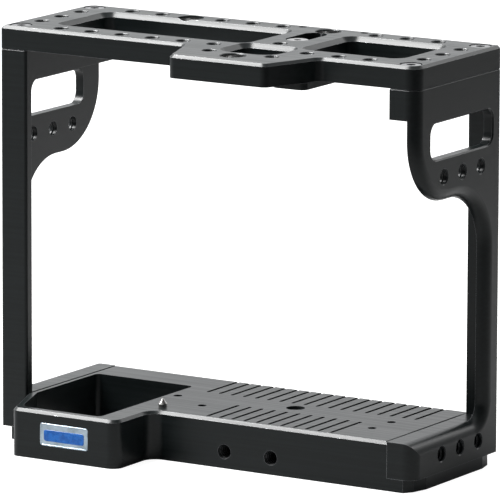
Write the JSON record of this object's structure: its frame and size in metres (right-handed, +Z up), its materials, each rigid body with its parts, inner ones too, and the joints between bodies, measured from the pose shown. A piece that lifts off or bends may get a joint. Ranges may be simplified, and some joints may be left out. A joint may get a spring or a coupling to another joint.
{
  "type": "camera cage",
  "caption": "Machined camera cage: an open bolted frame with rows of threaded accessory holes, a sliding shoe clamp, a captive camera screw and a sprung locating pin.",
  "frame": {"origin": "bottom centre of the whole cage's bounding box", "axes": "+X to the side along the cage's width, -Y to its front, +Z up from the base to the top plate"},
  "size_m": [0.171, 0.0808, 0.1494],
  "materials": {
    "anodised_top": "satin black anodised, machined",
    "anodised_side": "satin black anodised, machined",
    "anodised_base": "satin black anodised, machined",
    "anodised_clamp": "matt black anodised",
    "black_screw": "black oxide steel",
    "bright_screw": "satin stainless steel",
    "dowel_steel": "ground steel",
    "insert_steel": "bright stainless steel",
    "camera_screw_steel": "satin stainless steel",
    "pin_steel": "ground stainless steel",
    "spring_steel": "drawn spring steel",
    "badge_metal": "satin silver plate"
  },
  "bodies": {
    "cage": {"top_plate": "anodised_top", "side_plate_left": "anodised_side", "side_plate_right": "anodised_side", "base_plate": "anodised_base", "top_corner_screws": "black_screw", "base_corner_screws": "black_screw", "top_dowels": "dowel_steel", "base_dowels": "dowel_steel", "top_thread_inserts": "insert_steel", "base_thread_inserts": "insert_steel", "camera_screw_ring": "spring_steel", "pin_spring": "spring_steel", "pin_plug": "black_screw", "badge": "badge_metal"},
    "camera_screw_carrier": {"camera_screw_washer": "camera_screw_steel"},
    "camera_screw": {"camera_screw": "camera_screw_steel"},
    "locating_pin": {"locating_pin": "pin_steel"},
    "shoe_clamp": {"shoe_clamp_plate": "anodised_clamp", "shoe_foot": "anodised_clamp"},
    "shoe_clamp_screw": {"shoe_clamp_screw": "bright_screw", "shoe_clamp_washer": "bright_screw"}
  },
  "joints": [
    {"name": "camera_screw_lift", "type": "slide", "parent": "cage", "child": "camera_screw_carrier", "axis": [0, 0, 1], "range_m": [0, 0.0063]},
    {"name": "camera_screw_turn", "type": "hinge", "parent": "camera_screw_carrier", "child": "camera_screw", "pos_m": [0.01905, 0.0128, 0.0061], "axis": [0, 0, 1], "continuous": true},
    {"name": "locating_pin_press", "type": "slide", "parent": "cage", "child": "locating_pin", "axis": [0, 0, -1], "range_m": [0, 0.003], "stiffness_N_per_m": 300, "springref_m": -0.002, "deforming": ["pin_spring"]},
    {"name": "shoe_clamp_slide", "type": "slide", "parent": "cage", "child": "shoe_clamp", "axis": [0, 1, 0], "range_m": [0, 0.0117]},
    {"name": "shoe_clamp_screw_turn", "type": "hinge", "parent": "shoe_clamp", "child": "shoe_clamp_screw", "pos_m": [0.01905, 0.013, 0.147], "axis": [0, 0, 1], "range_deg": [0, 540]}
  ]
}
